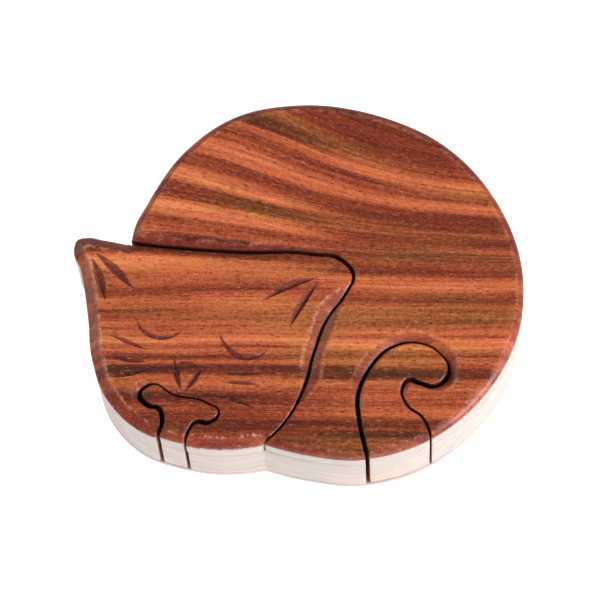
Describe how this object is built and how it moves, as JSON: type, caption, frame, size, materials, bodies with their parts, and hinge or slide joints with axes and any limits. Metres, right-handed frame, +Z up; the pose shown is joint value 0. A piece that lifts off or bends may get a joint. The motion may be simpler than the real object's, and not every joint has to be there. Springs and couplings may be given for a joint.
{
  "type": "cat puzzle box",
  "caption": "Wooden secret puzzle box sawn as a curled, sleeping cat; chin and tail pieces lift out as keys and two lids lift off hidden compartments.",
  "frame": {"origin": "under the middle of the box, on the surface that it lies on", "axes": "+X to the cat's tail side, +Y to its back, away from the edge with the key slots, +Z up through the lids"},
  "size_m": [0.1272, 0.1064, 0.027],
  "materials": {
    "rosewood": "satin",
    "bare_rosewood": "matte"
  },
  "bodies": {
    "box": {"bottom_plate": "rosewood", "wall_block": "rosewood"},
    "head_lid": {"head_lid": "rosewood", "head_lid_plug": "bare_rosewood"},
    "body_lid": {"body_lid": "rosewood", "body_lid_plug": "bare_rosewood"},
    "chin_key": {"chin_key": "rosewood"},
    "tail_key": {"tail_key": "rosewood"}
  },
  "joints": [
    {"name": "chin_key_lift", "type": "slide", "parent": "box", "child": "chin_key", "axis": [0, 0, 1], "range_m": [0, 0.035]},
    {"name": "tail_key_lift", "type": "slide", "parent": "box", "child": "tail_key", "axis": [0, 0, 1], "range_m": [0, 0.035]},
    {"name": "head_lid_lift", "type": "slide", "parent": "box", "child": "head_lid", "axis": [0, 0, 1], "range_m": [0, 0.04]},
    {"name": "body_lid_lift", "type": "slide", "parent": "box", "child": "body_lid", "axis": [0, 0, 1], "range_m": [0, 0.04]}
  ]
}
